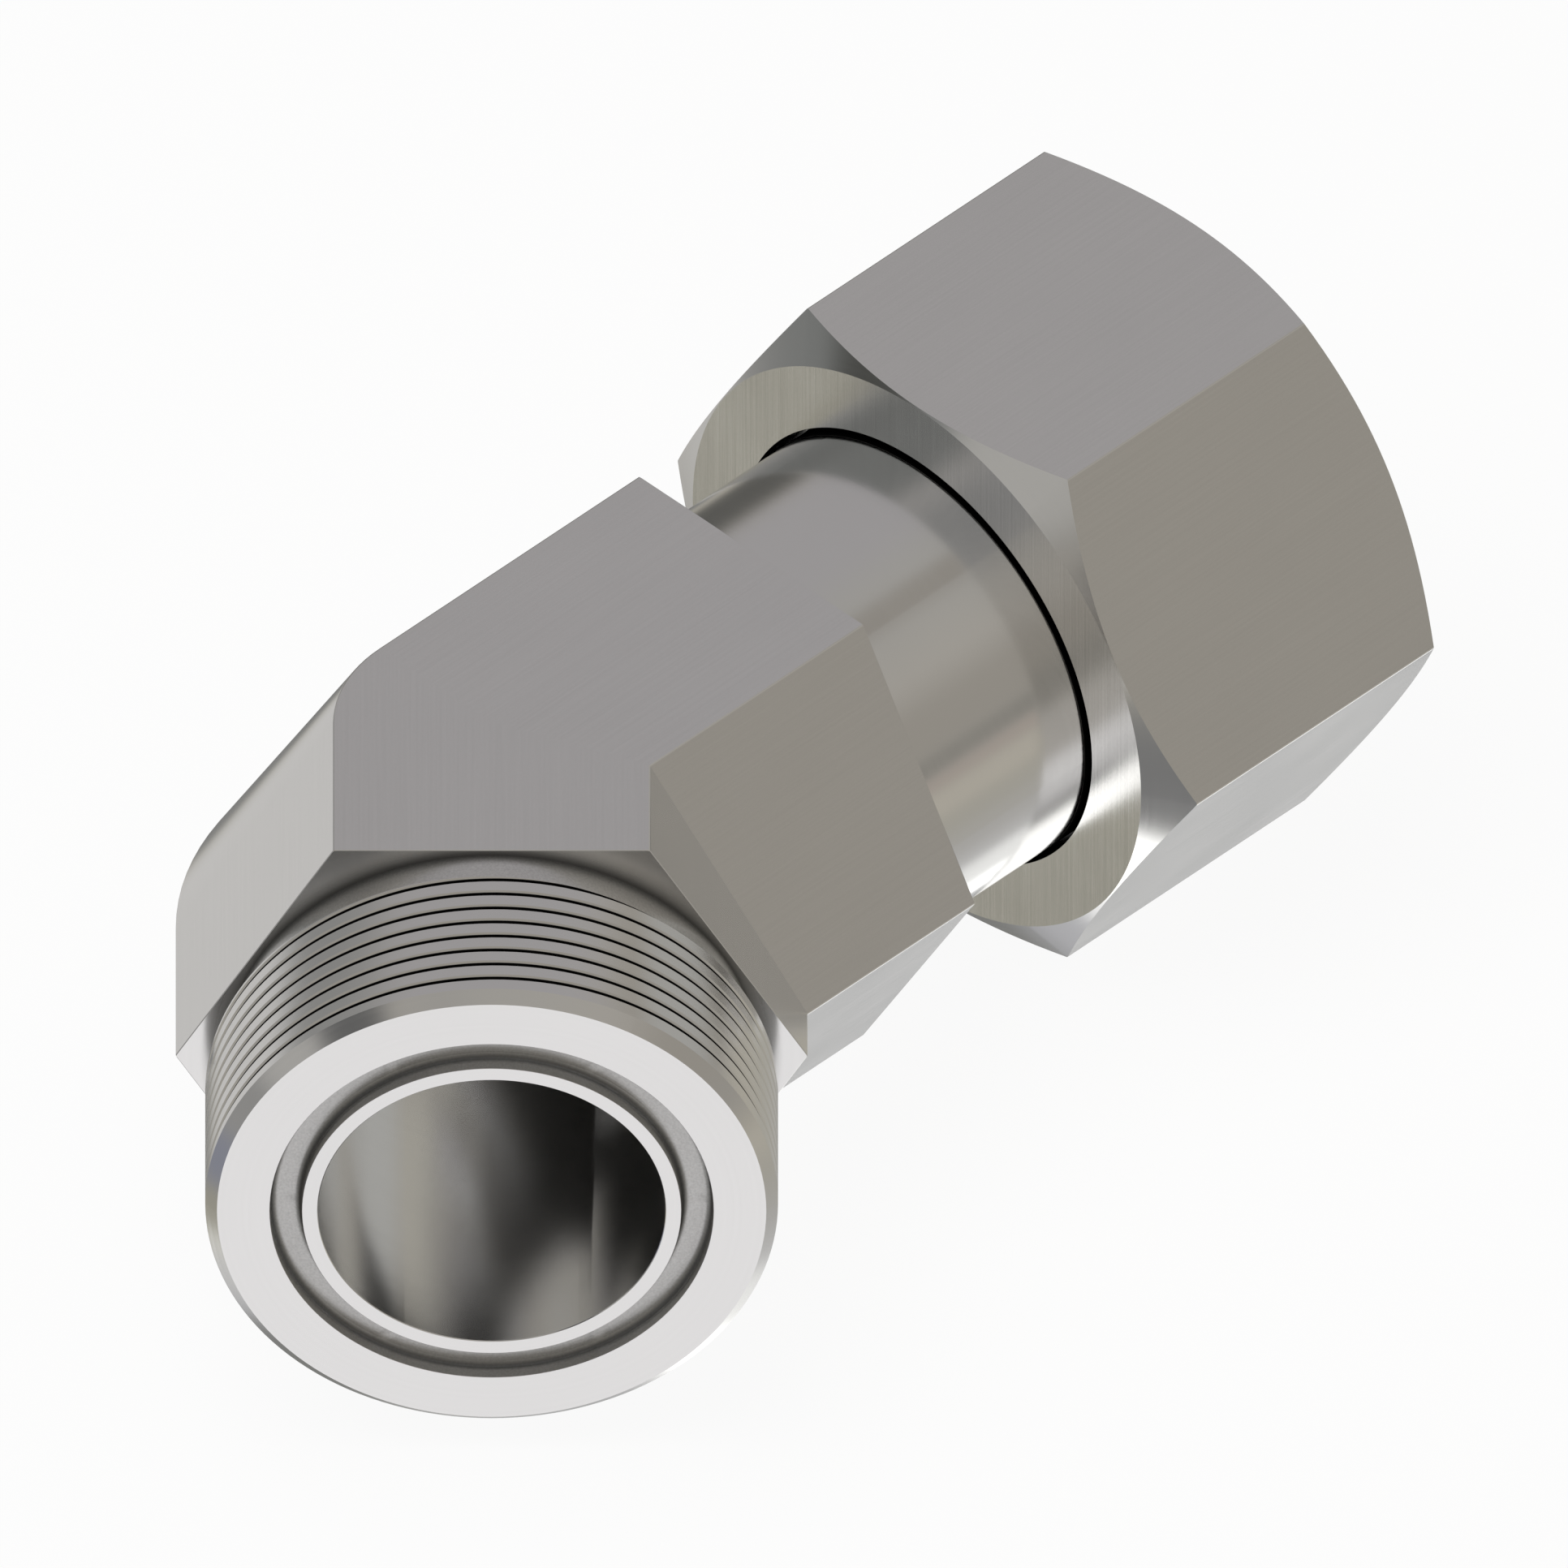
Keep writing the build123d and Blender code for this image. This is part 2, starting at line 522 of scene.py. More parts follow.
def leg_coordinates(graph, leg):
    """Return a surface point, how far it lies along a leg's axis and how far from it, in metres."""
    place = graph.node("ShaderNodeTexCoord").outputs["Object"]
    offset = graph.vector("SUBTRACT", place, tuple(leg.centre))
    along = graph.dot(offset, tuple(leg.along))
    inputs = {0: tuple(leg.along), "Scale": along}
    foot = graph.node("ShaderNodeVectorMath", {"operation": "SCALE"}, inputs).outputs[0]
    across = graph.vector("SUBTRACT", offset, foot)
    radius = Value(graph, graph.vector("LENGTH", across, output="Value"))
    return place, along, radius


def steel(graph, tone, roughness, bump, bump_depth):
    """Finish a steel material: its tone, its roughness and its fine relief."""
    relief = {"Strength": 1.0, "Distance": bump_depth, "Height": bump}
    inputs = {
        "Base Color": tone,
        "Metallic": 1.0,
        "Roughness": roughness,
        "Normal": graph.node("ShaderNodeBump", None, relief).outputs[0],
    }
    surface = graph.node("ShaderNodeBsdfPrincipled", None, inputs)
    graph.node("ShaderNodeOutputMaterial", None, {"Surface": surface.outputs[0]})


def cloudy(graph, place, scale, detail=3.0):
    """Return soft noise that averages a half."""
    inputs = {"Vector": place, "Scale": scale, "Detail": detail}
    return graph.value("ShaderNodeTexNoise", None, inputs, "Fac")


def tool_lines(graph, parts, detail=3.0):
    """Return noise drawn out into lines, from coordinates scaled each by itself."""
    return cloudy(graph, graph.node("ShaderNodeCombineXYZ", None, parts).outputs[0], 1.0, detail)


def shaded(graph, factor, tone, spread):
    """Return a tone that varies by a share to either side."""
    dark = rgba([c * (1 - spread) for c in tone])
    light = rgba([min(c * (1 + spread), 1) for c in tone])
    return graph.mix(factor, dark, light)


# Scales of the noises, in cells a metre
GRAIN_LENGTH = 60.0
MILLED_LINES = 5200.0
MILLED_CLOUDS = 90.0
TURNED_CLOUDS = 70.0
THREAD_LINES = 6000.0
WIRE_CLOUDS = 400.0
FINE_GRIT = 9000.0
COARSE_GRIT = 5500.0
# Depths of the reliefs, in metres
MILLED_RELIEF = 0.0000006
THREAD_RELIEF = 0.0000015
WIRE_RELIEF = 0.000002
# Grain of the nut's end faces: its contrast, its lines a metre and its grit
FACE_GRAIN = {"streaks": 0.14, "lines": 9000.0, "grit": 0.12}
# Ways of turning: tool lines a metre, depth of the relief, added roughness, and grit
PLAIN_CUT = {"lines": 2600.0, "relief": 0.0000015}
FACE_CUT = {"lines": 3400.0, "relief": 0.000001}
BORE_CUT = {"lines": 1500.0, "relief": 0.000003, "lift": 0.05}
GROOVE_CUT = {"lines": 5200.0, "relief": 0.000004, "lift": 0.15, "grit": 0.2}
UNDERCUT_CUT = {"lines": 5200.0, "relief": 0.000004, "lift": 0.18, "grit": 0.2}
# Painted shade in inner corners: how far it reaches and how strong it is
GROOVE_SHADE = (0.00065, 0.92)
UNDERCUT_SHADE = (0.0011, 0.6)
HEX_END_SHADE = (0.002, 0.6)
# Painted shade in a gap: the lengths over which it fades at the gap's start and past its end
GAP_SHADE_FADES = (0.0001, 0.0005)
# How far the stub's painted shade shows past the nut's back, and how far the nut's stays off the relief
STUB_SHADE_PAST = 0.0002
NUT_SHADE_SHORT = 0.001
# Depth below the crest at which painted shade starts in a thread's groove, and at which it is full
THREAD_SHADE_DEPTHS = (0.00013, 0.00017)
# The groove and the undercut take darker tones than the rest: painted shade in these recesses
GROOVE_SHADE_SHARE = 0.74
UNDERCUT_SHADE_SHARE = 0.9


def flat_steel(name, grain_axis, cross_axes, finish, tone, streaks=0.08, lines=MILLED_LINES, grit=0.0):
    """Milled flats: a fine straight grain, faint clouds, and an optional fine grit."""
    material = bpy.data.materials.new(name)
    graph = Graph(material)
    place = graph.node("ShaderNodeTexCoord").outputs["Object"]
    parts = [graph.dot(place, tuple(grain_axis)) * GRAIN_LENGTH]
    parts += [graph.dot(place, tuple(axis)) * lines for axis in cross_axes]
    grain = tool_lines(graph, parts, 2.0)
    clouds = cloudy(graph, place, MILLED_CLOUDS)
    grains = cloudy(graph, place, FINE_GRIT, 1.0)
    uneven = clouds * 0.3 + grain * 0.4 + grains * 0.3
    shades = (uneven - 0.5) * (1 + grit * 12) + 0.5
    base = shaded(graph, shades.clamp(), tone, streaks)
    roughness = grain * 0.05 + clouds * 0.05 + (finish.roughness - 0.05 + grit * 0.5)
    steel(graph, base, roughness, grain + grains * grit * 10, MILLED_RELIEF)
    return material


def turned_steel(name, leg, finish, tone, lines, relief, lift=0.0, grit=0.0, corners=(), gap=None):
    """Turned faces: fine rings left by the tool, grit, and painted shade in inner corners and in a gap.

    A corner is its place along the leg, its distance from the axis, and the painted shade's reach
    and strength. The gap is where it starts and ends along the leg.
    """
    material = bpy.data.materials.new(name)
    graph = Graph(material)
    place, along, radius = leg_coordinates(graph, leg)
    feed = tool_lines(graph, [along * lines, radius * lines, 0.0])
    clouds = cloudy(graph, place, TURNED_CLOUDS)
    grains = cloudy(graph, place, COARSE_GRIT, 1.0)
    shades = clouds * (1 - grit * 4) + grains * (grit * 4)
    base = shaded(graph, shades, tone, 0.03 + grit)
    roughness = feed * 0.06 + clouds * 0.04 + (finish.roughness - 0.05 + lift)
    # Painted shade near each inner corner
    for corner_along, corner_radius, reach, shade_strength in corners:
        away = ((along - corner_along) ** 2 + (radius - corner_radius) ** 2) ** 0.5
        near = 1 - away.step(0.0, reach)
        base = graph.mix(near * shade_strength, base, rgba(finish.painted_shade))
        roughness = roughness + near * 0.2
    # Painted shade in the gap between nut and stub
    if gap is not None:
        start, end = gap
        entered = along.step(start - GAP_SHADE_FADES[0], start)
        inside = entered * (1 - along.step(end, end + GAP_SHADE_FADES[1]))
        base = graph.mix(inside, base, rgba(finish.painted_shade))
        roughness = roughness + inside * 0.4
    steel(graph, base, roughness, feed, relief)
    return material


def thread_steel(name, leg, finish, tone, crest, inward):
    """Thread: bright crests over roots in painted shade, told apart by their depth below the crest."""
    material = bpy.data.materials.new(name)
    graph = Graph(material)
    place, along, radius = leg_coordinates(graph, leg)
    feed = tool_lines(graph, [along * THREAD_LINES, radius * THREAD_LINES, 0.0])
    clouds = cloudy(graph, place, TURNED_CLOUDS)
    bright = shaded(graph, clouds, tone, 0.03)
    # Painted shade in the thread's roots, by depth below the crest
    depth = (crest - radius) if inward else (radius - crest)
    deep = depth.step(*THREAD_SHADE_DEPTHS)
    base = graph.mix(deep, bright, rgba(finish.painted_shade))
    roughness = (feed * 0.06 + (finish.roughness - 0.02) + deep * 0.4).clamp()
    steel(graph, base, roughness, feed, THREAD_RELIEF)
    return material


def wire_steel(name, finish):
    """Drawn wire: even, slightly dull steel."""
    material = bpy.data.materials.new(name)
    graph = Graph(material)
    place = graph.node("ShaderNodeTexCoord").outputs["Object"]
    clouds = cloudy(graph, place, WIRE_CLOUDS)
    base = shaded(graph, clouds, finish.wire, 0.06)
    steel(graph, base, clouds * 0.1 + 0.28, clouds, WIRE_RELIEF)
    return material


# Pieces

# Numbers of the finishes, in the order in which a piece lists its materials
FLAT, TURNED, FACE, THREAD, BORE, GROOVE, SWIVEL_FLAT, STUB, UNDERCUT, HEX_END = range(10)
FLANK_ANGLE = pi / 6
# The nut's thread is cut to this share of the relief's depth
NUT_ROOT_SHARE = 0.8
DRILL_SIDES = 32


def groove_phase(reach, angle, first, pitch, hand):
    """Return how far a point lies from the nearest groove's middle, along the leg."""
    place = (reach - first - hand * pitch * angle / (2 * pi)) / pitch
    return (place - floor(place + 0.5)) * pitch


def helix_rows(pitch, root, opening, first, low, high):
    """Return the places of the helix's rows at the seam, from below low to above high."""
    offsets = (-opening / 2, -root / 2, root / 2, opening / 2, pitch / 2)
    start = floor((low - first) / pitch) - 1
    end = floor((high - first) / pitch) + 2
    rows = [first + pitch * turn + offset for turn in range(start, end + 1) for offset in offsets]
    return rows, len(offsets)


def add_thread(skin, leg, thread, crest, root, span, first, hand, floor_width, fade=0.0):
    """Add a helical thread over a span of reaches, with its rows laid from the span's first end."""
    pitch = thread.pitch
    opening = floor_width + 2 * abs(crest - root) * tan(FLANK_ANGLE)
    bottom, top = sorted(span)
    places, per_turn = helix_rows(pitch, floor_width, opening, first, bottom, top)
    downward = span[1] < span[0]
    if downward:
        places = places[::-1]

    def point(row, angle):
        reach = places[row] + hand * pitch * angle / (2 * pi)
        reach = min(max(reach, bottom), top)
        off = abs(groove_phase(reach, angle, first, pitch, hand))
        share = min(max((opening / 2 - off) / (opening / 2 - floor_width / 2), 0.0), 1.0)
        if fade:
            share *= min(max((top - reach) / fade, 0.0), 1.0)
        radius = crest + (root - crest) * share
        return leg.point(reach, radius * cos(angle), radius * sin(angle))

    seam = per_turn * hand * (-1 if downward else 1)
    skin.helix(leg, len(places), seam, point, THREAD)


def wire_groove(settings, middle):
    """Return the section of half of the wire's groove, whose middle is at an angle in degrees."""
    nut = settings.nut
    radius = nut.wire / 2 + nut.wire_clearance
    half = acos(nut.gap / 2 / radius) * 180 / pi
    stub = settings.body.bore / 2 + settings.body.stub_wall
    centre = (NUT_BACK + nut.wire_place, stub + nut.gap / 2)
    return arc(centre, radius, middle - half, middle + half, WIRE_GROOVE_STEPS)


class ELBOW_OT_body(bpy.types.Operator):
    """Build the elbow body as one skin of rings, with its male thread"""

    bl_idname = "elbow.body"
    bl_label = "Elbow body"
    bl_options = {"REGISTER", "UNDO"}

    def execute(self, context):
        settings = context.scene.swivel_elbow
        skin = Skin()
        self.sealing_face(skin, settings.body)
        self.male_thread(skin, settings.body, settings.thread)
        self.hexagons(skin, settings.body)
        self.stub_and_bores(skin, settings)
        piece = skin.finish("elbow_body_dressed", self.materials(settings))
        shade(piece)
        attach(piece, "elbow")
        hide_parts("elbow_body")
        return {"FINISHED"}

    def sealing_face(self, skin, sizes):
        """Lay the sealing face from the bore outward, with the ring groove in it, and its chamfer."""
        bore = sizes.bore / 2
        small = sizes.break_edge
        inner = bore + sizes.ring_land
        outer = inner + sizes.ring_width
        corner = sizes.ring_corner
        corner_reach = MALE_FACE - sizes.ring_depth + corner
        face_rim = THREAD_RADIUS - sizes.chamfer
        inner_corner = arc((corner_reach, inner + corner), corner, 270, 180, CORNER_STEPS)
        outer_corner = arc((corner_reach, outer - corner), corner, 180, 90, CORNER_STEPS)
        skin.section(MALE, [(MALE_FACE - small, bore)], FACE)
        skin.section(MALE, [(MALE_FACE, bore + small), (MALE_FACE, inner - small / 2)], FACE)
        skin.section(MALE, [(MALE_FACE - small / 2, inner), *inner_corner, *outer_corner], GROOVE)
        skin.section(MALE, [(MALE_FACE - small / 2, outer), (MALE_FACE, outer + small / 2)], GROOVE)
        skin.section(MALE, [(MALE_FACE, face_rim - small / 2)], FACE)
        skin.section(MALE, [(MALE_FACE - small / 2, face_rim)], TURNED)
        skin.section(MALE, [(MALE_FACE - sizes.chamfer, THREAD_RADIUS)], TURNED)

    def male_thread(self, skin, sizes, thread):
        """Lay the thread from the chamfer back to the undercut, and the undercut."""
        root = THREAD_RADIUS - thread.depth
        start = sizes.male_hex + sizes.undercut
        undercut = THREAD_RADIUS - sizes.undercut_depth
        # The first groove's place is its place on top, a quarter turn from the seam
        first = thread.first_groove + thread.pitch / 4
        span = (MALE_FACE - sizes.chamfer, start)
        add_thread(skin, MALE, thread, THREAD_RADIUS, root, span, first, -1, thread.root, thread.fade)
        skin.section(MALE, [(start, undercut), (sizes.male_hex, undercut)], UNDERCUT)

    def hexagons(self, skin, sizes):
        """Lay the male leg's hexagon, the bend and the swivel leg's hexagon."""
        flat = sizes.flats / 2
        small = sizes.break_edge
        full = hexagon(flat, sizes.edge)
        inset = hexagon(flat - small, sizes.edge)
        skin.ring(ring(MALE, sizes.male_hex, inset), HEX_END)
        skin.ring(ring(MALE, sizes.male_hex - small, full), FLAT)
        skin.rings(bend_rings(full), FLAT)
        skin.ring(ring(SWIVEL_LEG, sizes.swivel_hex - small, full), SWIVEL_FLAT)
        skin.ring(ring(SWIVEL_LEG, sizes.swivel_hex, inset), SWIVEL_FLAT)

    def stub_and_bores(self, skin, settings):
        """Lay the stub with its wire groove and sealing face, and the bores back to the start."""
        sizes = settings.body
        bore = sizes.bore / 2
        stub = bore + sizes.stub_wall
        small = sizes.break_edge
        skin.section(SWIVEL_LEG, [(sizes.swivel_hex, stub), *wire_groove(settings, 270)], STUB)
        skin.section(SWIVEL_LEG, [(STUB_FACE - sizes.stub_edge, stub)], STUB)
        skin.section(SWIVEL_LEG, [(STUB_FACE, stub - sizes.stub_edge)], STUB)
        skin.section(SWIVEL_LEG, [(STUB_FACE, bore + small)], FACE)
        skin.section(SWIVEL_LEG, [(STUB_FACE - small, bore)], BORE)
        skin.rings(bend_rings(circle(bore))[::-1], BORE)
        skin.close(BORE)

    def materials(self, settings):
        """Return the finishes of the body, in the order of their numbers."""
        sizes, finish = settings.body, settings.finish
        tone = tuple(finish.steel)
        # Darker copies of the steel: painted shade in the groove and the undercut
        dull = [c * GROOVE_SHADE_SHARE for c in tone]
        undercut_shaded_tone = [c * UNDERCUT_SHADE_SHARE for c in tone]
        inner = sizes.bore / 2 + sizes.ring_land
        groove_floor = MALE_FACE - sizes.ring_depth
        groove_walls = (inner, inner + sizes.ring_width)
        # Painted shade in the groove's floor corners, the undercut's corner and on the hexagon's end
        groove_corners = [(groove_floor, wall, *GROOVE_SHADE) for wall in groove_walls]
        end_corner = (sizes.male_hex, THREAD_RADIUS - sizes.undercut_depth)
        undercut_corners = [(*end_corner, *UNDERCUT_SHADE)]
        hex_corners = [(*end_corner, *HEX_END_SHADE)]
        # Painted shade on the stub where it runs into the nut
        gap = (NUT_BACK - STUB_SHADE_PAST, NUT_BACK + settings.nut.wire_place * 2)
        return [
            flat_steel("flat steel", MALE.along, (MALE.outward, UP), finish, tone),
            turned_steel("turned steel", MALE, finish, tone, **PLAIN_CUT),
            turned_steel("sealing face steel", MALE, finish, tone, **FACE_CUT),
            thread_steel("thread steel", MALE, finish, tone, THREAD_RADIUS, True),
            turned_steel("bored steel", MALE, finish, tuple(finish.bore_steel_painted_light), **BORE_CUT),
            turned_steel("groove steel", MALE, finish, dull, corners=groove_corners, **GROOVE_CUT),
            flat_steel("swivel flat steel", SWIVEL_LEG.along, (SWIVEL_LEG.outward, UP), finish, tone),
            turned_steel("stub steel", SWIVEL_LEG, finish, tone, gap=gap, **PLAIN_CUT),
            turned_steel("undercut steel", MALE, finish, undercut_shaded_tone, corners=undercut_corners, **UNDERCUT_CUT),
            turned_steel("hexagon end steel", MALE, finish, tone, corners=hex_corners, **PLAIN_CUT),
        ]


class ELBOW_OT_nut(bpy.types.Operator):
    """Build the swivel nut with its chamfered corners, thread, relief and wire hole"""

    bl_idname = "elbow.nut"
    bl_label = "Swivel nut"
    bl_options = {"REGISTER", "UNDO"}

    def execute(self, context):
        settings = context.scene.swivel_elbow
        skin = Skin()
        self.outside(skin, settings)
        self.inside(skin, settings)
        piece = skin.finish("swivel_nut_dressed", self.materials(settings))
        cut(piece, self.drill(settings))
        shade(piece)
        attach(piece, "nut")
        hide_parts("swivel_nut")
        return {"FINISHED"}

    def back_bore(self, settings):
        """Return the radius of the bore over the stub."""
        return settings.body.bore / 2 + settings.body.stub_wall + settings.nut.gap

    def relief_ends(self, sizes):
        """Return how far out the relief behind the thread starts and ends."""
        front = STUB_FACE + sizes.relief_past
        return front - sizes.relief, front

    def outside(self, skin, settings):
        """Lay the back face, the chamfered corners, the flats and the front face."""
        sizes = settings.nut
        flats = hexagon(NUT_FLAT, settings.body.edge)
        washer = NUT_FLAT - sizes.inset
        slope = tan(sizes.chamfer_angle)
        depths = [(radius - washer) * slope for radius in flats]
        rim = self.back_bore(settings) + settings.body.break_edge / 2
        skin.section(SWIVEL_LEG, [(NUT_BACK, rim), (NUT_BACK, washer)], FACE)
        skin.ring(ring(SWIVEL_LEG, [NUT_BACK + depth for depth in depths], flats), TURNED)
        skin.ring(ring(SWIVEL_LEG, [NUT_FRONT - depth for depth in depths], flats), FLAT)
        skin.section(SWIVEL_LEG, [(NUT_FRONT, washer)], TURNED)
        skin.section(SWIVEL_LEG, [(NUT_FRONT, THREAD_RADIUS + sizes.mouth)], FACE)

    def inside(self, skin, settings):
        """Lay the mouth, the thread, the relief, the bore over the stub and the wire groove."""
        sizes, thread = settings.nut, settings.thread
        bore = self.back_bore(settings)
        relief_back, relief_front = self.relief_ends(sizes)
        relief_radius = THREAD_RADIUS + sizes.relief_clearance
        mouth_end = NUT_FRONT - (THREAD_RADIUS + sizes.mouth - NUT_THREAD_RADIUS)
        root = NUT_THREAD_RADIUS + (relief_radius - NUT_THREAD_RADIUS) * NUT_ROOT_SHARE
        span = (mouth_end, relief_front)
        skin.section(SWIVEL_LEG, [(mouth_end, NUT_THREAD_RADIUS)], TURNED)
        add_thread(skin, SWIVEL_LEG, thread, NUT_THREAD_RADIUS, root, span, NUT_FRONT, 1, thread.nut_root)
        skin.section(SWIVEL_LEG, [(relief_front, relief_radius), (relief_back, relief_radius)], BORE)
        skin.section(SWIVEL_LEG, [(relief_back, bore), *wire_groove(settings, 90)], BORE)
        skin.section(SWIVEL_LEG, [(NUT_BACK + settings.body.break_edge / 2, bore)], BORE)
        skin.close(BORE)

    def materials(self, settings):
        """Return the finishes of the nut, in the order of their numbers."""
        finish = settings.finish
        tone = tuple(finish.nut_steel)
        leg = SWIVEL_LEG
        relief_back, _ = self.relief_ends(settings.nut)
        # Painted shade in the nut's bore, in the gap over the stub
        gap = (NUT_BACK, relief_back - NUT_SHADE_SHORT)
        return [
            flat_steel("nut flat steel", leg.along, (leg.outward, UP), finish, tone),
            turned_steel("nut turned steel", leg, finish, tone, **PLAIN_CUT),
            flat_steel("nut face steel", UP, (leg.outward, leg.along), finish, tone, **FACE_GRAIN),
            thread_steel("nut thread steel", leg, finish, tone, NUT_THREAD_RADIUS, False),
            turned_steel("nut bored steel", leg, finish, tone, gap=gap, **BORE_CUT),
        ]

    def drill(self, settings):
        """Return the drill for the wire hole, which runs out along the groove's tangent."""
        sizes = settings.nut
        radius = sizes.wire / 2 + sizes.wire_hole
        height = self.back_bore(settings) - sizes.gap / 2
        mesh = bmesh.new()
        bmesh.ops.create_cone(
            mesh, cap_ends=True, segments=DRILL_SIDES, radius1=radius, radius2=radius, depth=NUT_FLAT
        )
        turn = SWIVEL_LEG.outward.to_track_quat("Z", "Y").to_matrix().to_4x4()
        start = SWIVEL_LEG.point(NUT_BACK + sizes.wire_place, NUT_FLAT / 2, height)
        mesh.transform(Matrix.Translation(start) @ turn)
        data = bpy.data.meshes.new("drill")
        mesh.to_mesh(data)
        mesh.free()
        tool = bpy.data.objects.new("drill", data)
        bpy.context.scene.collection.objects.link(tool)
        return tool


class ELBOW_OT_wire(bpy.types.Operator):
    """Give the retaining wire its finish"""

    bl_idname = "elbow.wire"
    bl_label = "Retaining wire"
    bl_options = {"REGISTER", "UNDO"}

    def execute(self, context):
        finish = context.scene.swivel_elbow.finish
        wire = frame["nodes"]["retaining_wire"]
        material = wire_steel("wire steel", finish)
        for slot in wire.material_slots:
            slot.link = "OBJECT"
            slot.material = material
        return {"FINISHED"}


# Stage

# Camera, floor and lamp, in metres
CAMERA_DISTANCE = 0.6
CAMERA_CLIP = (0.01, 5.0)
FLOOR_SIZE = 3.0
FLOOR_DROP = 0.0001
LAMP_SIZE = 0.8
LAMP_WATTS = 5.0
LAMP_PLACE = Vector((-0.25, -0.1, 0.9))
LAMP_TARGET = Vector((0, 0.05, 0))
# Share of plain white that the camera sees in the floor
FLOOR_WHITE = 0.93
WHITE = (1, 1, 1, 1)

# The studio by elevation in degrees: pale ground, darker towards the horizon, grey walls and sky
BANDS = (
    (-90, (0.80, 0.80, 0.79)),
    (-64, (0.60, 0.60, 0.59)),
    (-54, (0.56, 0.555, 0.55)),
    (-44, (0.45, 0.44, 0.42)),
    (-32, (0.41, 0.395, 0.35)),
    (-19, (0.445, 0.42, 0.36)),
    (-6, (0.345, 0.33, 0.30)),
    (7, (0.335, 0.315, 0.28)),
    (20, (0.335, 0.315, 0.28)),
    (33, (0.41, 0.39, 0.355)),
    (45, (0.40, 0.385, 0.355)),
    (57, (0.385, 0.375, 0.355)),
    (90, (0.40, 0.39, 0.37)),
)
# Soft panels: azimuth and elevation, then the angles from the middle at which a panel starts to
# fade and has gone, all in degrees, and its colour
PANELS = (
    (-80, 10, 40, 70, (0.315, 0.31, 0.30)),
    (0, 41, 15, 38, (0.378, 0.366, 0.368)),
    (168, -25, 12, 20, (0.50, 0.48, 0.45)),
    (163, 1, 4, 12, (0.265, 0.255, 0.23)),
    (180, -41, 7, 15, (0.93, 0.92, 0.925)),
    (-37, -19, 10, 26, (0.61, 0.60, 0.587)),
    (-90, -41, 6, 18, (0.345, 0.33, 0.272)),
    (-78, 18, 22, 46, (0.205, 0.21, 0.205)),
    (-12, -4, 5, 22, (0.11, 0.108, 0.10)),
    (-5, -37, 4, 14, (0.21, 0.21, 0.205)),
    (-92, 3, 4, 14, (0.07, 0.07, 0.065)),
    (-124, 8, 7, 16, (0.44, 0.43, 0.41)),
    (-131, 29, 5, 14, (0.12, 0.12, 0.12)),
    (-110, 54, 4, 14, (0.39, 0.38, 0.37)),
    (-142, 62, 8, 24, (0.285, 0.285, 0.283)),
    (-150, -38, 5, 22, (0.2, 0.2, 0.2)),
    (-138, -61, 8, 14, (1.9, 1.9, 1.87)),
    (-103, -57, 8, 15, (1.9, 1.9, 1.87)),
    (-98, -72, 5, 12, (1.0, 1.0, 1.0)),
    (-60, -71, 6, 14, (0.48, 0.48, 0.50)),
    (-101, -27, 4, 12, (0.25, 0.26, 0.31)),
    (-23, -60, 6, 16, (0.22, 0.22, 0.21)),
    (42, 6, 6, 14, (0.40, 0.395, 0.375)),
    (102, -2, 1, 6, (0.25, 0.24, 0.215)),
    (102, -10, 1, 5, (0.41, 0.36, 0.32)),
    (100, -19, 1, 8, (0.48, 0.45, 0.39)),
    (70, 54, 1, 9, (0.30, 0.28, 0.25)),
    (55, -57, 4, 14, (0.95, 0.95, 0.93)),
    (30, -56, 3, 11, (1.9, 1.9, 1.87)),
    (12, -51, 5, 10, (0.44, 0.44, 0.44)),
)


def direction(azimuth, elevation):
    """Return the direction at an azimuth from +Y towards +X and an elevation, in degrees."""
    turn, rise = radians(azimuth), radians(elevation)
    return (sin(turn) * cos(rise), cos(turn) * cos(rise), sin(rise))


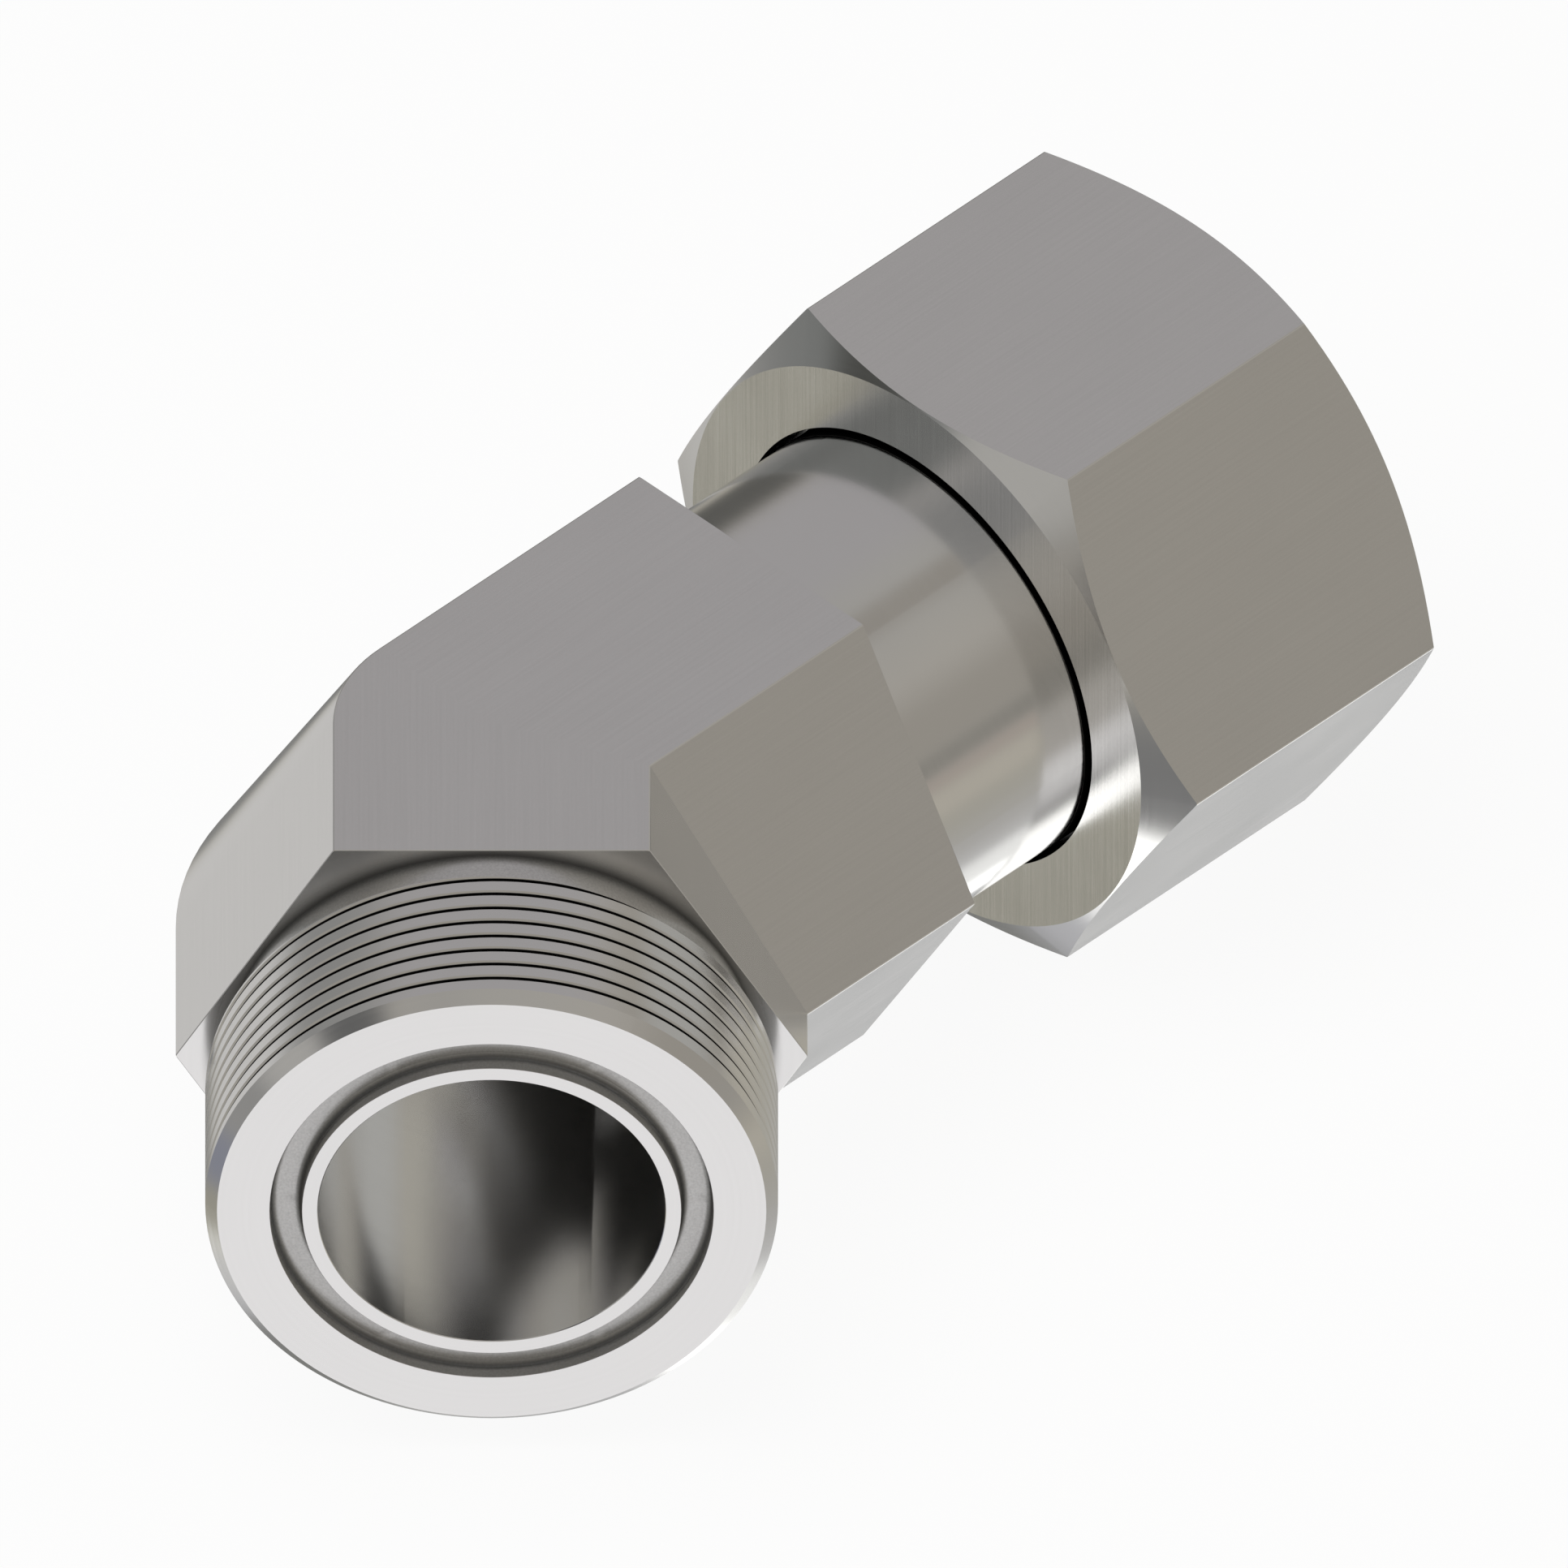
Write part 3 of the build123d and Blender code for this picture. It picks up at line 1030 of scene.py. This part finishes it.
class ELBOW_OT_stage(bpy.types.Operator):
    """Set the camera, the floor and the studio light"""

    bl_idname = "elbow.stage"
    bl_label = "Stage"
    bl_options = {"REGISTER", "UNDO"}

    def execute(self, context):
        settings = context.scene.swivel_elbow.stage
        self.camera(context.scene, settings)
        self.floor(context.scene, settings)
        self.world(context.scene)
        self.lamp(context.scene)
        context.scene.view_settings.view_transform = "Standard"
        return {"FINISHED"}

    def camera(self, scene, settings):
        """Add the camera at the photograph's angle."""
        data = bpy.data.cameras.new("camera")
        data.type = "ORTHO"
        data.ortho_scale = settings.width
        data.clip_start, data.clip_end = CAMERA_CLIP
        camera = bpy.data.objects.new("camera", data)
        scene.collection.objects.link(camera)
        rise = settings.elevation
        back = Vector((0, -cos(rise), sin(rise)))
        upward = Vector((0, sin(rise), cos(rise)))
        target = CENTRE + Vector((settings.right, 0, 0)) + upward * settings.above
        camera.location = target + back * CAMERA_DISTANCE
        camera.rotation_euler = (pi / 2 - rise, 0, 0)
        scene.camera = camera

    def floor(self, scene, settings):
        """Add the pale floor under the nut's lowest flat. The steel mirrors the studio instead of it."""
        mesh = bmesh.new()
        bmesh.ops.create_grid(mesh, x_segments=1, y_segments=1, size=FLOOR_SIZE)
        data = bpy.data.meshes.new("floor")
        mesh.to_mesh(data)
        mesh.free()
        plane = bpy.data.objects.new("floor", data)
        plane.location = (0, 0, cad_box[0].z - FLOOR_DROP)
        scene.collection.objects.link(plane)
        material = bpy.data.materials.new("floor")
        graph = Graph(material)
        seen = graph.value("ShaderNodeLightPath", None, None, "Is Camera Ray")
        matt = graph.node("ShaderNodeBsdfDiffuse", None, {"Color": rgba(settings.floor)})
        glow = graph.node("ShaderNodeEmission", None, {"Color": WHITE, "Strength": 1.0})
        shaders = [seen * FLOOR_WHITE, matt.outputs[0], glow.outputs[0]]
        both = graph.node("ShaderNodeMixShader", None, shaders)
        graph.node("ShaderNodeOutputMaterial", None, {"Surface": both.outputs[0]})
        data.materials.append(material)
        plane.visible_glossy = False
        plane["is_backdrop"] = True

    def world(self, scene):
        """Set the studio that the steel mirrors: bands by height, with soft panels over them."""
        world = bpy.data.worlds.new("studio")
        graph = Graph(world)
        towards = graph.node("ShaderNodeTexCoord").outputs["Generated"]
        height = graph.dot(towards, tuple(UP))
        stops = [((sin(radians(rise)) + 1) / 2, tone) for rise, tone in BANDS]
        tone = graph.node("ShaderNodeValToRGB", {"stops": stops}, {"Fac": height * 0.5 + 0.5}).outputs[0]
        for azimuth, elevation, inner, outer, panel in PANELS:
            closeness = graph.dot(towards, direction(azimuth, elevation))
            weight = closeness.step(cos(radians(outer)), cos(radians(inner)))
            tone = graph.mix(weight, tone, rgba(panel))
        seen = graph.value("ShaderNodeLightPath", None, None, "Is Camera Ray")
        tone = graph.mix(seen, tone, WHITE)
        light = graph.node("ShaderNodeBackground", None, {"Color": tone, "Strength": 1.0})
        graph.node("ShaderNodeOutputWorld", None, {"Surface": light.outputs[0]})
        scene.world = world

    def lamp(self, scene):
        """Add a broad lamp overhead that lights the floor and gives it the object's soft shadow."""
        data = bpy.data.lights.new("softbox", "AREA")
        data.shape = "SQUARE"
        data.size = LAMP_SIZE
        data.energy = LAMP_WATTS
        lamp = bpy.data.objects.new("softbox", data)
        lamp.location = LAMP_PLACE
        lamp.rotation_euler = (LAMP_TARGET - lamp.location).to_track_quat("-Z", "Y").to_euler()
        lamp.visible_glossy = False
        scene.collection.objects.link(lamp)


class ELBOW_PT_panel(bpy.types.Panel):
    """Lists the pieces of the elbow and their settings"""

    bl_idname = "ELBOW_PT_panel"
    bl_label = "Swivel elbow"
    bl_space_type = "VIEW_3D"
    bl_region_type = "UI"
    bl_category = "Elbow"

    def draw(self, context):
        settings = context.scene.swivel_elbow
        for operator, groups in PANEL_ROWS:
            box = self.layout.box()
            box.operator(operator)
            for group in groups:
                values = getattr(settings, group)
                for name in values.__annotations__:
                    box.prop(values, name)


# Each operator with the settings shown under it
PANEL_ROWS = (
    ("elbow.body", ("body", "thread")),
    ("elbow.nut", ("nut",)),
    ("elbow.wire", ("finish",)),
    ("elbow.stage", ("stage",)),
)

CLASSES = (
    ELBOW_PG_body,
    ELBOW_PG_thread,
    ELBOW_PG_nut,
    ELBOW_PG_finish,
    ELBOW_PG_stage,
    ELBOW_PG_all,
    ELBOW_OT_body,
    ELBOW_OT_nut,
    ELBOW_OT_wire,
    ELBOW_OT_stage,
    ELBOW_PT_panel,
)


def register():
    """Register the classes and the settings."""
    for cls in CLASSES:
        bpy.utils.register_class(cls)
    bpy.types.Scene.swivel_elbow = PointerProperty(type=ELBOW_PG_all)


def unregister():
    """Remove the settings and the classes."""
    del bpy.types.Scene.swivel_elbow
    for cls in reversed(CLASSES):
        bpy.utils.unregister_class(cls)


def main():
    """Build every piece and the stage, and work out both boxes."""
    register()
    bpy.ops.elbow.body()
    bpy.ops.elbow.nut()
    bpy.ops.elbow.wire()
    bpy.ops.elbow.stage()
    boxes = {"cad": cad_box, "visual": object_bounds()}
    {name: [list(corner) for corner in box] for name, box in boxes.items()}


if __name__ == "__main__":
    main()
